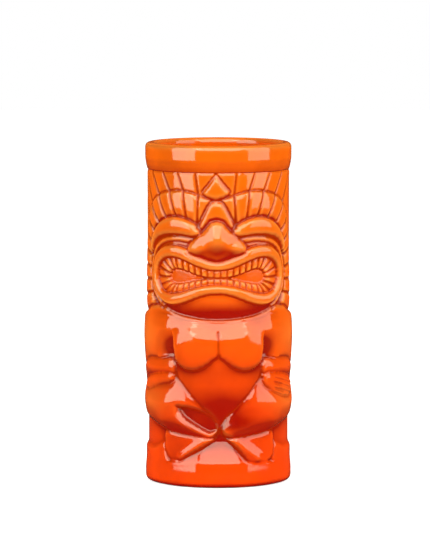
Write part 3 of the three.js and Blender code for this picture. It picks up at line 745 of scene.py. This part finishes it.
def rounded(profile, radius, count=8):
    """The closed profile with each corner that has a radius replaced by an arc-like curve."""
    points = []
    size = len(profile)
    for k, corner in enumerate(profile):
        r = radius[k]
        here = np.array(corner, float)
        if r == 0:
            points.append(here)
            continue
        before = np.array(profile[k - 1], float) - here
        after = np.array(profile[(k + 1) % size], float) - here
        start = here + before / np.linalg.norm(before) * r
        end = here + after / np.linalg.norm(after) * r
        for t in np.linspace(0, 1, count + 1):
            points.append((1 - t) ** 2 * start + 2 * t * (1 - t) * here + t ** 2 * end)
    return np.array(points)


def divided(points, longest=1.2):
    """The closed profile with long straight stretches divided."""
    result = []
    for k, here in enumerate(points):
        after = points[(k + 1) % len(points)]
        count = max(1, int(np.linalg.norm(after - here) / longest))
        result += [here + (after - here) * t / count for t in range(count)]
    return np.array(result)


def turned_piece(name, profile, edge):
    """A closed ring from a closed profile of (radius, z), anticlockwise. Points on the axis become one."""
    count = len(profile)
    angle = np.arange(TURN_SEGMENTS) * 2 * math.pi / TURN_SEGMENTS
    radius, z = profile[:, 0][None, :], profile[:, 1][None, :]
    x = radius * np.sin(angle)[:, None] + AXIS.x
    y = -radius * np.cos(angle)[:, None] + AXIS.y
    points = np.stack([x, y, z + 0 * x], axis=-1).reshape(-1, 3) * MM
    i, j = np.meshgrid(np.arange(TURN_SEGMENTS), np.arange(count), indexing="ij")
    i1, j1 = (i + 1) % TURN_SEGMENTS, (j + 1) % count
    number = np.arange(len(points)).reshape(TURN_SEGMENTS, count)
    number[:, profile[:, 0] == 0] = number[0, profile[:, 0] == 0]
    quads = np.stack([number[i, j], number[i1, j], number[i1, j1], number[i, j1]], -1).reshape(-1, 4)
    faces = [list(dict.fromkeys(quad)) for quad in quads.tolist()]
    faces = [face for face in faces if len(face) > 2]
    none = np.zeros(len(points))
    values = {"thin_glaze_and_highlight": np.tile(edge, TURN_SEGMENTS), "pooled_and_shade": none, "crease_line": none}
    return mesh_from(name, faces, points, None, values)


def sharpen(obj, degrees=40):
    """Keeps hard corners hard under smooth shading."""
    obj.data.set_sharp_from_angle(angle=math.radians(degrees))
    return obj


def edge_values(profile, where):
    """Thinned glaze and a painted highlight on the profile's round edges: where holds (radius, z, reach) of
    each.
    """
    result = np.zeros(len(profile))
    for radius, z, reach in where:
        away = np.hypot(profile[:, 0] - radius, profile[:, 1] - z)
        result = np.maximum(result, np.clip(1 - away / reach, 0, 1))
    return result


def rim_collar():
    corners = [
        (CUP_INSIDE + 1.2, COLLAR_LOW), (COLLAR_LOW_RADIUS, COLLAR_LOW),
        (COLLAR_LOW_RADIUS + 0.6, COLLAR_LOW + 2.2), (RIM_RADIUS - 0.06, COLLAR_LOW + 5.4),
        (RIM_RADIUS, RIM_TOP), (RIM_INSIDE, RIM_TOP), (RIM_INSIDE - 0.2, COLLAR_LOW + 8),
    ]
    profile = divided(rounded(corners, [0, 0.5, 1.0, 1.0, 2.6, 2.4, 2]), 0.9)
    # a painted highlight, with thinned glaze, along the rim's outer and inner top edges
    edge = edge_values(profile, [(RIM_RADIUS, RIM_TOP, 3.0), (RIM_INSIDE, RIM_TOP, 2.4)])
    return sharpen(turned_piece("glazed_rim_collar", profile, edge))


def cup_wall():
    corners = [
        (CUP_INSIDE, CUP_LOW), (CUP_OUTSIDE, CUP_LOW), (CUP_OUTSIDE, CUP_HIGH),
        (CUP_INSIDE + 1.2, COLLAR_LOW), (CUP_INSIDE, CUP_HIGH - 16),
    ]
    profile = divided(rounded(corners, [0, 0, 0, 0, 8]), 3)
    return sharpen(turned_piece("glazed_cup_wall", profile, np.zeros(len(profile))))


def base_plinth():
    inside = FOOT_OUTSIDE - FOOT_WIDTH - GAP
    under = FOOT_HIGH + GAP
    widest = CARVING_RADIUS + PLINTH_BULGE
    side = [(CARVING_RADIUS + plinth_side(z), z) for z in np.linspace(PLINTH_WIDEST, FACE_LOW, 12)]
    corners = [
        (0, under + 2), (inside - 2, under + 2), (inside, under), (FOOT_OUTSIDE + GAP, under),
        (FOOT_OUTSIDE + GAP, PLINTH_LOW), (widest, PLINTH_LOW), *side, (CUP_OUTSIDE + GAP, FACE_LOW),
        (CUP_OUTSIDE + GAP, FLOOR_TOP), (0, FLOOR_TOP),
    ]
    radius = [0, 1, 0.5, 0, 0.1, 3.0] + [0] * len(side) + [0, 0.4, 0]
    profile = divided(rounded(corners, radius), 1.5)
    return sharpen(turned_piece("glazed_base_plinth", profile, np.zeros(len(profile))))


def foot_ring():
    inside = FOOT_OUTSIDE - FOOT_WIDTH
    corners = [(inside, FOOT_HIGH), (inside + 0.3, 0), (FOOT_OUTSIDE - 0.3, 0), (FOOT_OUTSIDE, FOOT_HIGH)]
    profile = divided(rounded(corners, [0, 0.5, 0.5, 0], 4), 1.2)
    return sharpen(turned_piece("bare_foot_ring", profile, np.zeros(len(profile))))


# ---------------------------------------------------------------- materials

def new_material(name):
    material = bpy.data.materials.new(name)
    material.use_nodes = True
    nodes = material.node_tree.nodes
    return material, nodes, material.node_tree.links, nodes["Principled BSDF"]


def noise_node(nodes, links, position, scale, detail):
    node = nodes.new("ShaderNodeTexNoise")
    node.inputs["Scale"].default_value = scale
    node.inputs["Detail"].default_value = detail
    links.new(position, node.inputs["Vector"])
    return node.outputs["Fac"]


def math_node(nodes, links, operation, *values, clamp=False):
    node = nodes.new("ShaderNodeMath")
    node.operation = operation
    node.use_clamp = clamp
    for socket, value in zip(node.inputs, values):
        if isinstance(value, (int, float)):
            socket.default_value = value
        else:
            links.new(value, socket)
    return node.outputs[0]


def attribute_value(nodes, name):
    node = nodes.new("ShaderNodeAttribute")
    node.attribute_name = name
    return node.outputs["Fac"]


def add_bump(nodes, links, shader, heights, strength):
    node = nodes.new("ShaderNodeBump")
    node.inputs["Strength"].default_value = strength
    node.inputs["Distance"].default_value = BUMP_DISTANCE
    links.new(heights, node.inputs["Height"])
    links.new(node.outputs["Normal"], shader.inputs["Normal"])


def mix_colour(nodes, links, factor, a, b):
    node = nodes.new("ShaderNodeMix")
    node.data_type = "RGBA"
    for socket, value in ((node.inputs["Factor"], factor), (node.inputs[6], a), (node.inputs[7], b)):
        if isinstance(value, (tuple, float, int)):
            socket.default_value = value
        else:
            links.new(value, socket)
    return node.outputs[2]


BUMP_DISTANCE = 0.0002
GLAZE_BODY = (1.0, 0.15, 0.002, 1)
GLAZE_LOW = (0.94, 0.062, 0.0005, 1)  # darker and redder towards the bottom
# pale orange for thinned glaze on edges and for painted highlights
GLAZE_THIN_AND_HIGHLIT = (1.0, 0.29, 0.04, 1)
# deep red for thicker glaze in hollows and for painted shade
GLAZE_DEEP_AND_SHADED = (0.32, 0.0042, 0.0002, 1)
GLAZE_CREASE = (0.42, 0.03, 0.0005, 1)
DARKENING_TOP = 0.125  # metres: the colour turns darker and redder from here down
DARKENING_LENGTH = 0.085
CLOUD_SHIFT = 0.5  # how far the clouds make the glaze look thicker or thinner
CLOUD_ROUGHNESS = 0.08
SMOOTHEST = 0.03
THIN_AND_HIGHLIGHT_SHARE = 0.9
CREASE_SHARE = 0.75
FULL_SHEEN = 0.5
CREASE_DULLING = 0.6


def glaze_material():
    material, nodes, links, shader = new_material("orange_glaze")
    position = nodes.new("ShaderNodeNewGeometry").outputs["Position"]
    thin_and_highlight = attribute_value(nodes, "thin_glaze_and_highlight")
    pool_and_shade = attribute_value(nodes, "pooled_and_shade")
    line = attribute_value(nodes, "crease_line")
    clouds = noise_node(nodes, links, position, 60, 3)
    specks = noise_node(nodes, links, position, 900, 2)
    cloud_level = math_node(nodes, links, "SUBTRACT", clouds, 0.5)
    cloud_shift = math_node(nodes, links, "MULTIPLY", cloud_level, CLOUD_SHIFT)
    thinness_and_highlight = math_node(nodes, links, "MULTIPLY", thin_and_highlight, THIN_AND_HIGHLIGHT_SHARE, clamp=True)
    normal = nodes.new("ShaderNodeSeparateXYZ")
    links.new(nodes.new("ShaderNodeNewGeometry").outputs["Normal"], normal.inputs[0])
    # painted shade: darker where the surface faces down
    shade_underneath = math_node(nodes, links, "MULTIPLY", normal.outputs["Z"], -2.0, clamp=True)
    gathered_and_shade = math_node(nodes, links, "ADD", shade_underneath, pool_and_shade)
    depth = math_node(nodes, links, "ADD", gathered_and_shade, cloud_shift, clamp=True)
    place = nodes.new("ShaderNodeSeparateXYZ")
    links.new(position, place.inputs[0])
    from_top = math_node(nodes, links, "SUBTRACT", DARKENING_TOP, place.outputs["Z"])
    run = math_node(nodes, links, "DIVIDE", from_top, DARKENING_LENGTH, clamp=True)
    crease = math_node(nodes, links, "MULTIPLY", line, CREASE_SHARE, clamp=True)
    # darker and redder lower down
    colour = mix_colour(nodes, links, run, GLAZE_BODY, GLAZE_LOW)
    colour = mix_colour(nodes, links, depth, colour, GLAZE_DEEP_AND_SHADED)
    # lighter on raised edges: thinned glaze and a painted highlight
    colour = mix_colour(nodes, links, thinness_and_highlight, colour, GLAZE_THIN_AND_HIGHLIT)
    colour = mix_colour(nodes, links, crease, colour, GLAZE_CREASE)
    links.new(colour, shader.inputs["Base Color"])
    duller = math_node(nodes, links, "MULTIPLY", crease, CREASE_DULLING)
    links.new(math_node(nodes, links, "SUBTRACT", FULL_SHEEN, duller), shader.inputs["Specular IOR Level"])
    rough = math_node(nodes, links, "MULTIPLY_ADD", clouds, CLOUD_ROUGHNESS, SMOOTHEST)
    links.new(rough, shader.inputs["Roughness"])
    shader.inputs["IOR"].default_value = 1.6
    add_bump(nodes, links, shader, specks, 0.05)
    return material


CLAY_DARK = (0.72, 0.62, 0.50, 1)
CLAY_LIGHT = (0.84, 0.76, 0.66, 1)
CLAY_GRAIN = (0.5, 0.4, 0.32, 1)


def bare_clay_material():
    material, nodes, links, shader = new_material("bare_clay")
    position = nodes.new("ShaderNodeNewGeometry").outputs["Position"]
    grain = noise_node(nodes, links, position, 1400, 4)
    stain = noise_node(nodes, links, position, 80, 3)
    speckled = math_node(nodes, links, "MULTIPLY", grain, 0.3)
    colour = mix_colour(nodes, links, stain, CLAY_DARK, CLAY_LIGHT)
    colour = mix_colour(nodes, links, speckled, colour, CLAY_GRAIN)
    links.new(colour, shader.inputs["Base Color"])
    shader.inputs["Roughness"].default_value = 0.85
    add_bump(nodes, links, shader, grain, 0.3)
    return material


def floor_material():
    material, nodes, links, shader = new_material("pale_floor")
    position = nodes.new("ShaderNodeNewGeometry").outputs["Position"]
    fleck = noise_node(nodes, links, position, 30, 2)
    path = nodes.new("ShaderNodeLightPath")
    pale = mix_colour(nodes, links, fleck, (0.93, 0.93, 0.93, 1), (0.96, 0.96, 0.96, 1))
    mirrored = mix_colour(nodes, links, path.outputs["Is Glossy Ray"], pale, (0.05, 0.045, 0.04, 1))
    links.new(mirrored, shader.inputs["Base Color"])
    shader.inputs["Roughness"].default_value = 0.7
    shader.inputs["Specular IOR Level"].default_value = 0
    shader.inputs["Emission Color"].default_value = (1, 1, 1, 1)
    glow = math_node(nodes, links, "MULTIPLY", path.outputs["Is Camera Ray"], 0.75)
    links.new(glow, shader.inputs["Emission Strength"])
    return material


# ---------------------------------------------------------------- the object

glaze = glaze_material()
bare_clay = bare_clay_material()


def finish_piece(obj, node, material):
    obj.data.materials.append(material)
    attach(obj, "root")
    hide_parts(node)


for number, name in enumerate(CARVED):
    finish_piece(carved_piece(number), name, glaze)
finish_piece(rim_collar(), "rim_collar", glaze)
finish_piece(cup_wall(), "cup_wall", glaze)
finish_piece(base_plinth(), "base_plinth", glaze)
finish_piece(foot_ring(), "foot_ring", bare_clay)

# ---------------------------------------------------------------- the stage

def floor():
    half = 3.0
    corners = [(-half, -half, 0), (half, -half, 0), (half, half, 0), (-half, half, 0)]
    mesh = bpy.data.meshes.new("floor")
    mesh.from_pydata(corners, [], [(0, 1, 2, 3)])
    obj = bpy.data.objects.new("floor", mesh)
    bpy.context.scene.collection.objects.link(obj)
    mesh.materials.append(floor_material())


LIGHT_COLOUR = (1.0, 1.0, 0.8)
MUG_MIDDLE = Vector((AXIS.x, AXIS.y, 95)) * MM


def panel(name, azimuth, elevation, distance, width, tall, power):
    """An area light that faces the mug. Azimuth 0 is in front of the face, and positive is to the right."""
    light = bpy.data.lights.new(name, "AREA")
    light.shape = "RECTANGLE"
    light.size = width
    light.size_y = tall
    light.energy = power
    light.color = LIGHT_COLOUR
    obj = bpy.data.objects.new(name, light)
    a, e = math.radians(azimuth), math.radians(elevation)
    towards = Vector((math.sin(a) * math.cos(e), -math.cos(a) * math.cos(e), math.sin(e)))
    obj.location = MUG_MIDDLE + towards * distance
    obj.rotation_euler = (-towards).to_track_quat("-Z", "Y").to_euler()
    bpy.context.scene.collection.objects.link(obj)
    return obj


def softbox(name, azimuth, elevation, distance, width, tall, radiance, lit):
    """A softbox whose reflection is as bright as radiance says. It lights the mug lit times as much."""
    power = radiance * math.pi * width * tall
    shine = panel(name + "_shine", azimuth, elevation, distance, width, tall, power)
    shine.visible_diffuse = False
    fill = panel(name + "_fill", azimuth, elevation, distance, width, tall, power * lit)
    fill.visible_glossy = False


STUDIO_FILL = 0.36  # how bright the surroundings are to the lighting
STUDIO_MIRRORED = 0.02  # and to reflections


def world():
    """White to the camera, and dimmer to the lighting and to reflections, as in a studio with dark walls."""
    made = bpy.data.worlds.new("studio")
    bpy.context.scene.world = made
    made.use_nodes = True
    nodes, links = made.node_tree.nodes, made.node_tree.links
    background = nodes["Background"]
    path = nodes.new("ShaderNodeLightPath")
    by_camera, by_gloss = path.outputs["Is Camera Ray"], path.outputs["Is Glossy Ray"]
    whiter = math_node(nodes, links, "MULTIPLY", by_camera, 1 - STUDIO_FILL)
    darker = math_node(nodes, links, "MULTIPLY", by_gloss, STUDIO_FILL - STUDIO_MIRRORED)
    seen = math_node(nodes, links, "ADD", whiter, STUDIO_FILL)
    strength = math_node(nodes, links, "SUBTRACT", seen, darker)
    background.inputs["Color"].default_value = (1, 1, 1, 1)
    links.new(strength, background.inputs["Strength"])


CAMERA_DISTANCE = 2200.0
CAMERA_HEIGHT = 312.0
AIM = Vector((-1.6, 0.0, 103.2))
LENS = 304.9


def camera():
    data = bpy.data.cameras.new("camera")
    data.lens = LENS
    data.sensor_width = 36
    data.clip_end = 20
    obj = bpy.data.objects.new("camera", data)
    start = Vector((AXIS.x, AXIS.y - CAMERA_DISTANCE, CAMERA_HEIGHT))
    aim = Vector((AXIS.x, AXIS.y, 0)) + AIM
    obj.location = start * MM
    obj.rotation_euler = (aim - start).to_track_quat("-Z", "Y").to_euler()
    bpy.context.scene.collection.objects.link(obj)
    bpy.context.scene.camera = obj


floor()
world()
softbox("softbox_left", -56, 20, 1.1, 0.85, 1.25, 4.3, 0.58)
softbox("softbox_right", 67, 20, 1.1, 0.85, 1.25, 2.7, 0.92)
softbox("softbox_top", 2, 39, 1.2, 1.6, 1.24, 4.3, 1.16)
camera()
bpy.context.scene.view_settings.view_transform = "Standard"
